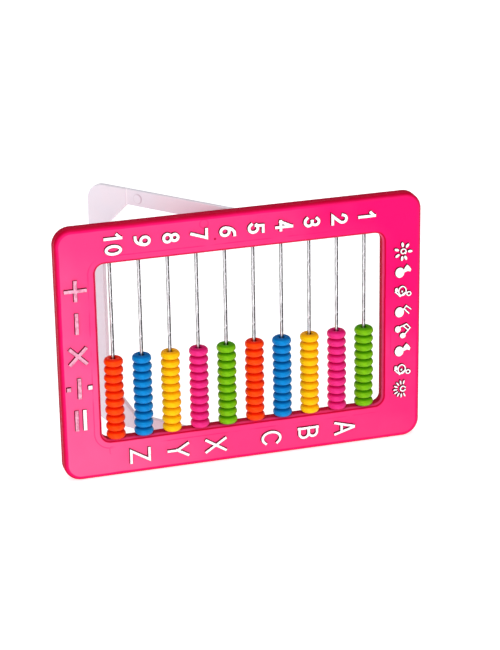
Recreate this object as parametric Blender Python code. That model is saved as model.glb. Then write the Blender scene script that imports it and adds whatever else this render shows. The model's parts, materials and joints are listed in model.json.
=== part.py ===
"""A child's abacus: ten wires of beads in a moulded frame, with a hinged bail as its stand.

Metres, +Z up. The frame stands on one of its long edges, so the wires are upright and the beads have dropped
to the bottom, and the stand is swung open behind it like a book cover. The origin is the centre of the lower
long edge, +X runs along that edge, and the face of the frame looks along -Y.
"""

import math

import bmesh
import bpy
from mathutils import Matrix, Vector

CLEARANCE = 0.0003          # gap between pieces that touch, run or press on each other

# Frame: outline, window and depth
FRAME_WIDTH = 0.210
FRAME_HEIGHT = 0.148
FRAME_DEPTH = 0.007
FRAME_CORNER = 0.010
WINDOW_WIDTH = 0.165
WINDOW_HEIGHT = 0.104
WINDOW_CORNER = 0.005
FACE_THICKNESS = 0.0018
SKIRT_THICKNESS = 0.0022
WINDOW_WALL = 0.0018
FACE_ROUND = 0.0022         # rounding of the face's outer edge
WINDOW_ROUND = 0.0022       # rounding of the face's edge at the window
ROUND_STEPS = 3             # facets on each of those roundings
COVER_THICKNESS = 0.0016
CORNER_STEPS = 5            # facets on each corner, seen from the front
CUTTER_OVERSHOOT = 0.001    # how far a cutter runs past the solid that it cuts
SHARP_ANGLE = math.radians(40)

FRONT = -FRAME_DEPTH / 2
BACK = FRAME_DEPTH / 2
MIDDLE = FRAME_HEIGHT / 2   # height of the frame's centre
UNDERSIDE = FRONT + FACE_THICKNESS
COVER_FRONT = BACK - COVER_THICKNESS

# Wires and their sockets
ROD_COUNT = 10
ROD_RADIUS = 0.001
ROD_SPACING = 0.01624
FIRST_ROD_X = 0.072         # the wire marked 1 is the one furthest to the right
ROD_REACH = 0.006           # how far a wire runs into each rail
SOCKET_WIDTH = 0.0052
SOCKET_BACK = 0.0015
SOCKET_END = 0.002          # solid plastic beyond the wire's end
ROD_SIDES = 8

# Beads: ten on each wire, in runs that slide on their own, listed from the bottom of the wire
BEAD_RADIUS = 0.00555
BEAD_PITCH = 0.00482
BEAD_WAIST = 0.0038         # radius of the groove where two beads meet
BEAD_HOLE = 0.00165
BEAD_EDGE = 0.0013          # height over which a bead's edge rounds off
BEAD_RUNS = (("low", 5), ("middle", 2), ("high", 2), ("top", 1))
BEAD_SIDES = 11

# Raised characters, which all have their tops towards +X: numbers above the wires, letters below them, signs
# on the left rail and small pictures on the right rail
CHARACTER_RISE = 0.001
CHARACTER_ROOT = 0.0005     # how far a character's foot is sunk in the face, so that they are one piece
NUMBER_HEIGHT = 0.0096
NUMBER_STROKE = 0.165       # in heights of the character, as are all the strokes and shapes below
NUMBER_RISE_FROM_MIDDLE = 0.0636
FIRST_NUMBER_X = 0.0723
NUMBER_SPACING = 0.0161
PAIR_SPACING = 0.72         # between the two digits of 10
DIGIT_BOX = (0.46, 0.84)    # width and height that a digit's centre lines fill
LETTER_BOX = (0.56, 0.875)
LETTER_HEIGHT = 0.012
LETTER_STROKE = 0.125
LETTER_DROP_FROM_MIDDLE = 0.0631
LETTER_SPACING = 0.0220
LETTER_ROWS = (("CBA", 0.0152), ("XYZ", -0.0176))     # each row runs outwards from its first letter's place
SIGN_HEIGHT = 0.012
SIGN_STROKE = 0.17
SIGN_X = -0.0945
SIGN_TOP = 0.0390
SIGN_SPACING = 0.01905
SIGNS = ("plus", "minus", "times", "divide", "equals")
PICTURE_HEIGHT = 0.010
PICTURE_STROKE = 0.10
PICTURE_X = 0.0939
PICTURE_TOP = 0.0401
PICTURE_SPACING = 0.01196
PICTURES = ("sun", "quaver", "clef", "crotchet", "beamed", "quaver", "clef", "half_sun")
CURVE_STEP = 45             # degrees between the points of a curved stroke
MITRE_LIMIT = 0.4           # smallest cosine of half a stroke's turn that its mitre follows

# Stand: a U-shaped bail, described flat on the back of the frame with its cross-bar to the left
STAND_OPEN = math.radians(49)
STAND_REACH = 0.0952        # from the hinge axis to the outer edge of the cross-bar
STAND_BAR = 0.0094
STAND_CORNER = 0.0105
STAND_GUSSET = 0.0178
STAND_INNER = 0.0018        # from the hinge axis to the side that lies on the frame
STAND_OUTER = 0.0014        # from the hinge axis to the other side
STAND_RELIEF = 0.0005       # the arms are this much thinner than the cross-bar
RELIEF_START = 0.0045
RELIEF_END = 0.0680
BUTTON_RADIUS = 0.0027
BUTTON_SIDES = 12
BUTTON_HEIGHT = 0.0004
BUTTON_REACH = 0.0602
BUTTON_INSET = 0.0048
STOP_LENGTH = 0.0024        # length of the flat on the heel that meets the frame when the stand is fully open
HINGE_X = -0.0048
HINGE_Y = BACK + CLEARANCE + STAND_INNER
PEG_RADIUS = 0.0013
PEG_LENGTH = 0.0055
LUG_WIDTH = 0.0064
LUG_DEPTH = 0.0062
LUG_WALL = 0.0028           # from the hinge axis to the top of the lug
LUG_STEPS = 8               # facets on the lug's round top
HEEL_STEPS = 4
HINGE_SIDES = 12

# Colours: linear RGB
PINK = (0.95, 0.055, 0.27)
DEEP_PINK = (0.85, 0.035, 0.20)
WHITE = (0.80, 0.77, 0.80)
STEEL = (0.60, 0.60, 0.62)
BEAD_COLOURS = {
    "green": (0.20, 0.50, 0.005),
    "magenta": (0.78, 0.03, 0.26),
    "yellow": (0.95, 0.56, 0.002),
    "blue": (0.002, 0.21, 0.60),
    "orange": (1.0, 0.085, 0.002),
}


def material(name, colour, roughness, metallic=0.0):
    made = bpy.data.materials.new(name)
    made.use_nodes = True
    shader = made.node_tree.nodes["Principled BSDF"]
    shader.inputs["Base Color"].default_value = (*colour, 1.0)
    shader.inputs["Roughness"].default_value = roughness
    shader.inputs["Metallic"].default_value = metallic
    return made


def object_from(bm, name, finish=None, smooth=False):
    """Turns a bmesh into a named object, with its faces pointing out."""
    bmesh.ops.recalc_face_normals(bm, faces=bm.faces)
    mesh = bpy.data.meshes.new(name)
    bm.to_mesh(mesh)
    bm.free()
    if finish:
        mesh.materials.append(finish)
    if smooth:
        mesh.shade_smooth()
        mesh.set_sharp_from_angle(angle=SHARP_ANGLE)
    made = bpy.data.objects.new(name, mesh)
    bpy.context.scene.collection.objects.link(made)
    return made


def boolean(target, operation, tool, overlapping=False):
    """Adds a Boolean to target and makes tool a guide that isn't part of the object."""
    step = target.modifiers.new(operation.title(), "BOOLEAN")
    step.operation = operation
    step.solver = "EXACT"
    step.use_self = overlapping
    step.object = tool
    tool.hide_render = True
    tool.display_type = "WIRE"


def add_box(bm, low, high):
    centre = (Vector(low) + Vector(high)) / 2
    size = Vector(high) - Vector(low)
    bmesh.ops.create_cube(bm, size=1.0, matrix=Matrix.Translation(centre) @ Matrix.Diagonal((*size, 1.0)))


def add_prism(bm, outline, low, high, place):
    """Adds a closed prism: an outline in (a, b) run from low to high, with points at place(a, b, height)."""
    bottom = [bm.verts.new(place(a, b, low)) for a, b in outline]
    top = [bm.verts.new(place(a, b, high)) for a, b in outline]
    bm.faces.new(bottom)
    bm.faces.new(top)
    for i in range(len(outline)):
        j = (i + 1) % len(outline)
        bm.faces.new((bottom[i], bottom[j], top[j], top[i]))


def arc(centre, radius, start, end, steps):
    """Points on an arc, both ends included; angles in degrees."""
    angles = [math.radians(start + (end - start) * i / steps) for i in range(steps + 1)]
    return [(centre[0] + radius * math.cos(a), centre[1] + radius * math.sin(a)) for a in angles]


def circle(centre, radius, sides):
    return arc(centre, radius, 0, 360, sides)[:-1]


def rounded_rectangle(width, height, radius):
    points = []
    for turn, (side_x, side_z) in enumerate(((1, 1), (-1, 1), (-1, -1), (1, -1))):
        centre = (side_x * (width / 2 - radius), side_z * (height / 2 - radius))
        points += arc(centre, radius, 90 * turn, 90 * turn + 90, CORNER_STEPS)
    return points


def frame_loop(inset, y):
    """The frame's outer outline moved inwards by inset, at depth y."""
    width, height = FRAME_WIDTH - 2 * inset, FRAME_HEIGHT - 2 * inset
    return [(x, y, MIDDLE + z) for x, z in rounded_rectangle(width, height, FRAME_CORNER - inset)]


def window_loop(outset, y):
    """The window's outline moved into the rails by outset, at depth y."""
    width, height = WINDOW_WIDTH + 2 * outset, WINDOW_HEIGHT + 2 * outset
    return [(x, y, MIDDLE + z) for x, z in rounded_rectangle(width, height, WINDOW_CORNER + outset)]


def ring(bm, loops):
    """Bridges loops of equal length in a cycle, which makes a closed ring with the loops as its section."""
    rows = [[bm.verts.new(point) for point in loop] for loop in loops]
    for k, row in enumerate(rows):
        following = rows[(k + 1) % len(rows)]
        for i in range(len(row)):
            j = (i + 1) % len(row)
            bm.faces.new((row[i], row[j], following[j], following[i]))


def rounded_edge(make_loop, radius, side):
    """Loops that round the face's edge from the wall (side -1) or on to the wall (side 1)."""
    turns = [math.radians(90 * i / ROUND_STEPS) for i in range(ROUND_STEPS + 1)]
    section = [(radius * (1 - math.cos(turn)), radius * (1 - math.sin(turn))) for turn in turns]
    loops = [make_loop(inset, FRONT + drop) for inset, drop in section]
    return loops if side < 0 else loops[::-1]


def rod_x(number):
    return FIRST_ROD_X - ROD_SPACING * (number - 1)


def rod_ends():
    """Every place where a wire enters a rail, as (x, side): side is 1 at the top and -1 at the bottom."""
    return [(rod_x(number), side) for number in range(1, ROD_COUNT + 1) for side in (1, -1)]


def rail_box(x, side, half_width, depths, reaches):
    """Corners of a box in a long rail; depths run along Y, and reaches from the window's edge into the rail."""
    edges = sorted(MIDDLE + side * (WINDOW_HEIGHT / 2 + reach) for reach in reaches)
    return (x - half_width, depths[0], edges[0]), (x + half_width, depths[1], edges[1])


def front_shell(finish):
    bm = bmesh.new()
    ring(bm, [
        frame_loop(0, BACK),
        *rounded_edge(frame_loop, FACE_ROUND, -1),
        *rounded_edge(window_loop, WINDOW_ROUND, 1),
        window_loop(0, BACK),
        window_loop(WINDOW_WALL, BACK),
        window_loop(WINDOW_WALL, UNDERSIDE),
        frame_loop(SKIRT_THICKNESS, UNDERSIDE),
        frame_loop(SKIRT_THICKNESS, BACK),
    ])
    shell = object_from(bm, "front_shell", finish, smooth=True)

    sockets = bmesh.new()
    grooves = bmesh.new()
    rod_stop = ROD_REACH + CLEARANCE
    for x, side in rod_ends():
        socket_reach = (WINDOW_WALL / 2, rod_stop + SOCKET_END)
        socket_depth = (FRONT + FACE_THICKNESS / 2, SOCKET_BACK)
        add_box(sockets, *rail_box(x, side, SOCKET_WIDTH / 2, socket_depth, socket_reach))
        groove = ROD_RADIUS + CLEARANCE
        groove_depth = (-groove, BACK + CUTTER_OVERSHOOT)
        add_box(grooves, *rail_box(x, side, groove, groove_depth, (-CUTTER_OVERSHOOT, rod_stop)))
    boolean(shell, "UNION", object_from(sockets, "guide_sockets"))
    boolean(shell, "DIFFERENCE", object_from(grooves, "guide_grooves"))

    raised = bmesh.new()
    for character in characters():
        add_character(raised, *character)
    boolean(shell, "UNION", object_from(raised, "guide_characters"), overlapping=True)


def curve(centre_x, centre_y, radius_x, radius_y, start, end):
    """Points on part of an ellipse; angles in degrees, anticlockwise from the right."""
    steps = max(1, round(abs(end - start) / CURVE_STEP))
    angles = [math.radians(start + (end - start) * i / steps) for i in range(steps + 1)]
    return [(centre_x + radius_x * math.cos(a), centre_y + radius_y * math.sin(a)) for a in angles]


def oval(centre_x, centre_y, radius_x, radius_y):
    return curve(centre_x, centre_y, radius_x, radius_y, 0, 360)[:-1]


def digit_strokes(digit):
    """Centre lines of a digit from the lower left corner of its box, as (kind, points)."""
    drawings = {
        "0": [("loop", oval(0.23, 0.42, 0.23, 0.42))],
        "1": [("line", [(0.26, 0.0), (0.26, 0.84)]), ("line", [(0.20, 0.80), (0.08, 0.68)])],
        "2": [("line", curve(0.23, 0.60, 0.22, 0.24, 165, -40) + [(0.02, 0.0), (0.46, 0.0)])],
        "3": [("line", curve(0.22, 0.63, 0.20, 0.21, 145, -90)),
              ("line", curve(0.21, 0.22, 0.24, 0.22, 90, -145))],
        "4": [("line", [(0.33, 0.0), (0.33, 0.84)]), ("line", [(0.30, 0.82), (0.02, 0.24)]),
              ("line", [(0.02, 0.22), (0.46, 0.22)])],
        "5": [("line", [(0.42, 0.84), (0.09, 0.84), (0.06, 0.45)]),
              ("line", curve(0.21, 0.26, 0.25, 0.26, 130, -145))],
        "6": [("loop", oval(0.23, 0.25, 0.23, 0.25)), ("line", curve(0.40, 0.25, 0.40, 0.57, 85, 170))],
        "7": [("line", [(0.0, 0.84), (0.46, 0.84), (0.16, 0.0)])],
        "8": [("loop", oval(0.23, 0.64, 0.19, 0.20)), ("loop", oval(0.23, 0.22, 0.23, 0.22))],
    }
    if digit == "9":
        width, height = DIGIT_BOX
        return [(kind, [(width - u, height - v) for u, v in points]) for kind, points in digit_strokes("6")]
    return drawings[digit]


def letter_strokes(letter):
    """Centre lines of a letter from the lower left corner of its box."""
    return {
        "A": [("line", [(0.0, 0.0), (0.25, 0.86)]), ("line", [(0.56, 0.0), (0.31, 0.86)]),
              ("line", [(0.16, 0.28), (0.40, 0.28)])],
        "B": [("line", [(0.04, 0.0), (0.04, 0.875)]),
              ("line", [(0.06, 0.875)] + curve(0.28, 0.67, 0.20, 0.205, 90, -90) + [(0.06, 0.465)]),
              ("line", [(0.10, 0.45)] + curve(0.30, 0.225, 0.22, 0.225, 90, -90) + [(0.06, 0.0)])],
        "C": [("line", curve(0.32, 0.4375, 0.32, 0.4375, 45, 315))],
        "X": [("line", [(0.0, 0.0), (0.56, 0.875)]), ("line", [(0.56, 0.0), (0.0, 0.875)])],
        "Y": [("line", [(0.0, 0.875), (0.28, 0.40), (0.28, 0.0)]), ("line", [(0.56, 0.875), (0.28, 0.40)])],
        "Z": [("line", [(0.0, 0.875), (0.54, 0.875), (0.0, 0.0), (0.56, 0.0)])],
    }[letter]


def sign_strokes(sign):
    """Centre lines of an arithmetic sign about its own middle."""
    bar = ("line", [(-0.40, 0.0), (0.40, 0.0)])
    dots = [("blob", [(u, v + side * 0.5) for u, v in ((0.1, 0.1), (-0.1, 0.1), (-0.1, -0.1), (0.1, -0.1))])
            for side in (1, -1)]
    slope = 0.33
    return {
        "plus": [bar, ("line", [(0.0, -0.42), (0.0, 0.42)])],
        "minus": [bar],
        "times": [("line", [(-slope, -slope), (slope, slope)]), ("line", [(-slope, slope), (slope, -slope)])],
        "divide": [bar, *dots],
        "equals": [("line", [(-0.40, v), (0.40, v)]) for v in (0.19, -0.19)],
    }[sign]


def rays(angles, near, far, half_width):
    """Lens-shaped rays about the middle, as filled blobs."""
    made = []
    middle = (near + far) / 2
    for degrees in angles:
        turn = math.radians(degrees)
        corners = ((near, 0.0), (middle, -half_width), (far, 0.0), (middle, half_width))
        made.append(("blob", [(out * math.cos(turn) - aside * math.sin(turn),
                               out * math.sin(turn) + aside * math.cos(turn)) for out, aside in corners]))
    return made


def picture_strokes(picture):
    """Simple notes, clefs and suns about their own middle."""
    return {
        "sun": [("loop", oval(0.0, 0.0, 0.15, 0.15)), *rays(range(0, 350, 51), 0.27, 0.54, 0.07)],
        "quaver": [("blob", oval(0.05, -0.24, 0.27, 0.24)), ("line", [(-0.16, -0.16), (-0.26, 0.40)]),
                   ("line", [(-0.24, 0.40), (0.04, 0.34), (0.10, 0.18)])],
        "crotchet": [("blob", oval(0.05, -0.24, 0.27, 0.24)), ("line", [(-0.16, -0.16), (-0.22, 0.38)]),
                     ("line", [(-0.20, 0.38), (0.02, 0.44)])],
        "clef": [("loop", oval(0.05, 0.0, 0.24, 0.18)), ("loop", oval(0.20, 0.37, 0.11, 0.10)),
                 ("blob", oval(-0.07, -0.35, 0.15, 0.13)), ("line", [(-0.02, -0.26), (0.12, 0.25)])],
        "beamed": [("blob", oval(-0.20, -0.32, 0.17, 0.15)), ("blob", oval(0.20, -0.14, 0.17, 0.15)),
                   ("line", [(-0.30, -0.24), (-0.22, 0.28), (0.20, 0.42), (0.32, -0.10)])],
        "half_sun": [("line", curve(0.0, 0.10, 0.15, 0.15, 160, 380)),
                     *rays(range(160, 381, 32), 0.27, 0.54, 0.05)],
    }[picture]


def moved(strokes, shift_u, shift_v):
    return [(kind, [(u + shift_u, v + shift_v) for u, v in points]) for kind, points in strokes]


def centred(strokes, box):
    """Strokes moved from their box's lower left corner to its middle."""
    return moved(strokes, -box[0] / 2, -box[1] / 2)


def characters():
    """Every raised character as (strokes in heights, stroke width in heights, height, x, z)."""
    numbers_z = MIDDLE + NUMBER_RISE_FROM_MIDDLE
    for number in range(1, ROD_COUNT + 1):
        digits = str(number)
        strokes = []
        for place, digit in enumerate(digits):
            aside = (place - (len(digits) - 1) / 2) * PAIR_SPACING
            strokes += moved(centred(digit_strokes(digit), DIGIT_BOX), aside, 0.0)
        x = FIRST_NUMBER_X - NUMBER_SPACING * (number - 1)
        yield strokes, NUMBER_STROKE, NUMBER_HEIGHT, x, numbers_z
    for row, start in LETTER_ROWS:
        for place, letter in enumerate(row):
            x = start + math.copysign(place * LETTER_SPACING, start)
            strokes = centred(letter_strokes(letter), LETTER_BOX)
            yield strokes, LETTER_STROKE, LETTER_HEIGHT, x, MIDDLE - LETTER_DROP_FROM_MIDDLE
    for place, sign in enumerate(SIGNS):
        z = MIDDLE + SIGN_TOP - place * SIGN_SPACING
        yield sign_strokes(sign), SIGN_STROKE, SIGN_HEIGHT, SIGN_X, z
    for place, picture in enumerate(PICTURES):
        z = MIDDLE + PICTURE_TOP - place * PICTURE_SPACING
        yield picture_strokes(picture), PICTURE_STROKE, PICTURE_HEIGHT, PICTURE_X, z


def stroke_edges(points, width, closed):
    """The two edges of a stroke of constant width, with mitred corners and square ends."""
    path = [Vector(point) for point in points]
    count = len(path)
    if not closed:
        path[0] += (path[0] - path[1]).normalized() * width / 2
        path[-1] += (path[-1] - path[-2]).normalized() * width / 2
    left, right = [], []
    for i in range(count):
        before = path[i] - path[i - 1] if closed or i > 0 else path[1] - path[0]
        after = path[(i + 1) % count] - path[i] if closed or i < count - 1 else before
        across = Vector((-before.y, before.x)).normalized() + Vector((-after.y, after.x)).normalized()
        half_turn_cosine = max(across.length / 2, MITRE_LIMIT)
        step = across.normalized() * width / 2 / half_turn_cosine
        left.append(path[i] + step)
        right.append(path[i] - step)
    return left, right


def add_character(bm, strokes, width, height, x, z):
    """Raises one character: each stroke is a closed bar that stands on the face."""
    def place(point, y):
        return (x + point[1] * height, y, z - point[0] * height)

    depths = (FRONT - CHARACTER_RISE, FRONT + CHARACTER_ROOT)
    for kind, points in strokes:
        if kind == "blob":
            add_prism(bm, points, *depths, lambda u, v, y: place((u, v), y))
            continue
        closed = kind == "loop"
        left, right = stroke_edges(points, width, closed)
        rows = [[bm.verts.new(place(point, y)) for point in side] for side, y in
                ((left, depths[0]), (left, depths[1]), (right, depths[1]), (right, depths[0]))]
        count = len(points)
        for k in range(4):
            row, following = rows[k], rows[(k + 1) % 4]
            for i in range(count if closed else count - 1):
                j = (i + 1) % count
                bm.faces.new((row[i], row[j], following[j], following[i]))
        if not closed:
            for end in (0, -1):
                bm.faces.new([row[end] for row in rows])


def lug_outline():
    """The lug's side view as (x, y) about the hinge axis: straight flanks with a round top."""
    foot = BACK - COVER_THICKNESS / 2 - HINGE_Y
    half = LUG_WIDTH / 2
    shoulder = LUG_WALL - half
    return [(-half, foot), (half, foot)] + arc((0, shoulder), half, 0, 180, LUG_STEPS)


def rear_cover(finish):
    bm = bmesh.new()
    ring(bm, [
        frame_loop(SKIRT_THICKNESS + CLEARANCE, BACK),
        frame_loop(SKIRT_THICKNESS + CLEARANCE, COVER_FRONT),
        window_loop(WINDOW_WALL + CLEARANCE, COVER_FRONT),
        window_loop(WINDOW_WALL + CLEARANCE, BACK),
    ])
    cover = object_from(bm, "rear_cover", finish)

    keys = bmesh.new()
    for x, side in rod_ends():
        depths = (ROD_RADIUS + CLEARANCE, BACK - CLEARANCE)
        add_box(keys, *rail_box(x, side, ROD_RADIUS, depths, (CLEARANCE, ROD_REACH)))
    boolean(cover, "UNION", object_from(keys, "guide_keys"))

    def about_hinge(x, y, z):
        return HINGE_X + x, HINGE_Y + y, z

    lugs = bmesh.new()
    bores = bmesh.new()
    bore = circle((0, 0), PEG_RADIUS + CLEARANCE, HINGE_SIDES)
    for side in (1, -1):
        outer = FRAME_HEIGHT / 2 - STAND_BAR - CLEARANCE
        low, high = sorted((MIDDLE + side * (outer - LUG_DEPTH), MIDDLE + side * outer))
        add_prism(lugs, lug_outline(), low, high, about_hinge)
        add_prism(bores, bore, low - CUTTER_OVERSHOOT, high + CUTTER_OVERSHOOT, about_hinge)
    boolean(cover, "UNION", object_from(lugs, "guide_lugs"))
    boolean(cover, "DIFFERENCE", object_from(bores, "guide_bores"))


def rods(finish):
    reach = WINDOW_HEIGHT / 2 + ROD_REACH
    bm = bmesh.new()
    bmesh.ops.create_cone(bm, cap_ends=True, segments=ROD_SIDES, radius1=ROD_RADIUS, radius2=ROD_RADIUS,
                          depth=2 * reach)
    first = object_from(bm, "rod_01", finish, smooth=True)
    first.location = (rod_x(1), 0, MIDDLE)
    for number in range(2, ROD_COUNT + 1):
        rod = bpy.data.objects.new(f"rod_{number:02d}", first.data)
        rod.location = (rod_x(number), 0, MIDDLE)
        bpy.context.scene.collection.objects.link(rod)


def bead_profile(count):
    """Half section of a run of beads as (radius, height), down its hole and up its outside."""
    top = count * BEAD_PITCH - CLEARANCE
    points = [(BEAD_HOLE, top), (BEAD_HOLE, 0.0), (BEAD_WAIST, 0.0)]
    for bead in range(count):
        base = bead * BEAD_PITCH
        points.append((BEAD_RADIUS, base + BEAD_EDGE))
        points.append((BEAD_RADIUS, base + BEAD_PITCH - CLEARANCE - BEAD_EDGE))
        last = bead == count - 1
        points.append((BEAD_WAIST, top if last else base + BEAD_PITCH - CLEARANCE / 2))
    return points


def bead_mesh(name, count):
    """Turns the profile about the wire."""
    bm = bmesh.new()
    rows = []
    for radius, height in bead_profile(count):
        rows.append([bm.verts.new((x, y, height)) for x, y in circle((0, 0), radius, BEAD_SIDES)])
    for k, row in enumerate(rows):
        following = rows[(k + 1) % len(rows)]
        for i in range(BEAD_SIDES):
            j = (i + 1) % BEAD_SIDES
            bm.faces.new((row[i], row[j], following[j], following[i]))
    bmesh.ops.recalc_face_normals(bm, faces=bm.faces)
    mesh = bpy.data.meshes.new(name)
    bm.to_mesh(mesh)
    bm.free()
    mesh.shade_smooth()
    mesh.set_sharp_from_angle(angle=SHARP_ANGLE)
    return mesh


def beads():
    shapes = {count: bead_mesh(f"bead_run_{count}", count) for count in sorted({n for _, n in BEAD_RUNS})}
    finishes = [material(f"bead_{name}", colour, 0.35) for name, colour in BEAD_COLOURS.items()]
    floor = MIDDLE - WINDOW_HEIGHT / 2 + CLEARANCE
    for number in range(1, ROD_COUNT + 1):
        height = floor
        for run_name, count in BEAD_RUNS:
            mesh = shapes[count].copy()
            mesh.materials.append(finishes[(number - 1) % len(finishes)])
            run = bpy.data.objects.new(f"beads_{number:02d}_{run_name}", mesh)
            run.location = (rod_x(number), 0, height)
            bpy.context.scene.collection.objects.link(run)
            height += count * BEAD_PITCH


def stand_outline():
    """The bail's outline as (reach, height): reach runs from the hinge axis to the cross-bar."""
    half = FRAME_HEIGHT / 2
    inside = half - STAND_BAR
    bar = STAND_REACH - STAND_BAR
    corner = (STAND_REACH - STAND_CORNER, half - STAND_CORNER)
    outside = [(0, half)] + arc(corner, STAND_CORNER, 90, 0, CORNER_STEPS)
    opening = [(0, inside), (bar - STAND_GUSSET, inside), (bar, inside - STAND_GUSSET)]
    lower_outside = [(reach, -height) for reach, height in reversed(outside)]
    lower_opening = [(reach, -height) for reach, height in opening]
    return outside + lower_outside + lower_opening + opening[::-1]


def heel_outline():
    """The arm's end as (reach, depth) about the hinge axis: round beside the frame, then a flat that meets the
    frame when the stand is fully open, so the stand stops there."""
    swing = [STAND_OPEN * i / HEEL_STEPS for i in range(HEEL_STEPS + 1)]
    round_part = [(-STAND_INNER * math.sin(a), -STAND_INNER * math.cos(a)) for a in swing]
    tangent = (-math.cos(STAND_OPEN), math.sin(STAND_OPEN))
    toe = (round_part[-1][0] + STOP_LENGTH * tangent[0], round_part[-1][1] + STOP_LENGTH * tangent[1])
    return round_part + [toe, (toe[0], STAND_OUTER), (0, STAND_OUTER)]


def stand(finish):
    """Built flat about its hinge axis, with reach along -X and the side that lies on the frame towards -Y."""
    half = FRAME_HEIGHT / 2
    inside = half - STAND_BAR

    def arm_side(reach, height, depth):
        return -reach, depth, height

    bm = bmesh.new()
    add_prism(bm, stand_outline(), -STAND_INNER, STAND_OUTER, arm_side)
    bail = object_from(bm, "stand", finish)

    heels = bmesh.new()
    pegs = bmesh.new()
    relief = bmesh.new()
    buttons = bmesh.new()
    for side in (1, -1):
        heel = sorted((side * inside, side * half))
        add_prism(heels, heel_outline(), *heel, lambda reach, depth, height: (-reach, depth, height))
        peg = sorted((side * (inside - PEG_LENGTH), side * (inside + STAND_BAR / 2)))
        add_prism(pegs, circle((0, 0), PEG_RADIUS, HINGE_SIDES), *peg, lambda x, y, z: (x, y, z))
        band = sorted((side * (inside - CUTTER_OVERSHOOT), side * (half + CUTTER_OVERSHOOT)))
        add_box(relief, (-RELIEF_END, -STAND_INNER - CUTTER_OVERSHOOT, band[0]),
                (-RELIEF_START, -STAND_INNER + STAND_RELIEF, band[1]))
        centre = (-BUTTON_REACH, side * (half - BUTTON_INSET))
        rise = (-STAND_INNER + STAND_RELIEF - BUTTON_HEIGHT, 0.0)
        add_prism(buttons, circle(centre, BUTTON_RADIUS, BUTTON_SIDES), *rise, lambda x, z, y: (x, y, z))
    boolean(bail, "UNION", object_from(heels, "guide_heels"))
    boolean(bail, "UNION", object_from(pegs, "guide_pegs"))
    boolean(bail, "DIFFERENCE", object_from(relief, "guide_relief"))
    boolean(bail, "UNION", object_from(buttons, "guide_buttons"))

    hinge = bpy.data.objects.new("stand_hinge", None)
    bpy.context.scene.collection.objects.link(hinge)
    hinge.location = (HINGE_X, HINGE_Y, MIDDLE)
    hinge.rotation_euler = (0, 0, -STAND_OPEN)
    for piece in ("stand", "guide_heels", "guide_pegs", "guide_relief", "guide_buttons"):
        bpy.data.objects[piece].parent = hinge


def build():
    for old in list(bpy.data.objects):
        bpy.data.objects.remove(old, do_unlink=True)
    front_shell(material("front_shell_pink", PINK, 0.25))
    rear_cover(material("rear_cover_pink", DEEP_PINK, 0.35))
    rods(material("rod_steel", STEEL, 0.25, metallic=1.0))
    beads()
    stand(material("stand_white", WHITE, 0.35))


build()
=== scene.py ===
"""Looks of a child's abacus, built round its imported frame.

Metres, in the frame's own axes: the face looks along -Y, the wires stand along Z, the stand opens behind.
Every piece stands for a node of the frame, lies in that node's place and rides on its body.
"""
import json
import math
import random

import bmesh
import bpy
from mathutils import Matrix, Vector


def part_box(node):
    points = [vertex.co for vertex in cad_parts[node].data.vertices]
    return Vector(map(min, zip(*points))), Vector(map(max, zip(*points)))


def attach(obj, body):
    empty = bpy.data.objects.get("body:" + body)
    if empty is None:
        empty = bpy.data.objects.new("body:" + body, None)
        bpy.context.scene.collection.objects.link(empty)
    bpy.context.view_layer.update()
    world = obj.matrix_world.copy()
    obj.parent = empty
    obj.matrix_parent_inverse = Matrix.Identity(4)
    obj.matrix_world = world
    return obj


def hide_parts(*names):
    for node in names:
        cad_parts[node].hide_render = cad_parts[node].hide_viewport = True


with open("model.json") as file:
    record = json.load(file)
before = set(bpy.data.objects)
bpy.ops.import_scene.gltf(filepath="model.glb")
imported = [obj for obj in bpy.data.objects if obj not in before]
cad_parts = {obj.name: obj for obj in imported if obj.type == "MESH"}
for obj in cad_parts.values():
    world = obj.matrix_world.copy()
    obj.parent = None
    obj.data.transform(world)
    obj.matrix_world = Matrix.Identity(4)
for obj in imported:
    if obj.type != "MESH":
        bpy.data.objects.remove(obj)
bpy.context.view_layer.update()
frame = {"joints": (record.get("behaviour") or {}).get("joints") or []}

MM = 0.001

# Frame: its outline and place, and the top of its characters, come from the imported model
SHELL_LOW, SHELL_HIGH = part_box("front_shell")
FRAME_WIDTH = SHELL_HIGH.x - SHELL_LOW.x
FRAME_HEIGHT = SHELL_HIGH.z - SHELL_LOW.z
FRAME_DEPTH = 7.0 * MM
FRAME_CORNER = 10.0 * MM
WINDOW_WIDTH = 165.0 * MM
WINDOW_HEIGHT = 104.0 * MM
WINDOW_CORNER = 5.0 * MM
BACK = SHELL_HIGH.y
FRONT = BACK - FRAME_DEPTH
MIDDLE = (SHELL_LOW.z + SHELL_HIGH.z) / 2
RAIL = (FRAME_HEIGHT - WINDOW_HEIGHT) / 2
FACE_THICKNESS = 1.8 * MM
SKIRT_THICKNESS = 2.2 * MM
WINDOW_WALL = 1.8 * MM
FACE_ROUND = 2.2 * MM
WINDOW_ROUND = 2.2 * MM
SMALL_ROUND = 0.3 * MM
TINY_ROUND = 0.1 * MM
COVER_THICKNESS = 1.6 * MM
CLEARANCE = 0.3 * MM
CUT_MARGIN = 1.0 * MM       # how far a cutter passes the surface that it cuts
CORNER_STEPS = 20
FILLET_STEPS = 8
ROUND_STEPS = 32
SHARP_ANGLE = 32            # degrees between faces, above which an edge is shaded sharp
SHARP_ANGLE_SMALL = 40      # the same for the characters and wires

# Faint marks painted on the face: a line beside the window, a patch near each end wire, a ring and a speck
LINE_OUTSET = 4.6 * MM
PATCH_OUTSET = 6.0 * MM
PATCH_SIZE = (9.2 * MM, 4.4 * MM)
PATCH_CORNER = 1.0 * MM
RING_RADIUS = 2.4 * MM
RING_PLACE = (-21.4 * MM, MIDDLE + 69.2 * MM)
SPECK_RADIUS = 0.6 * MM
SPECK_PLACE = (-15.3 * MM, MIDDLE + 59.8 * MM)

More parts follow.
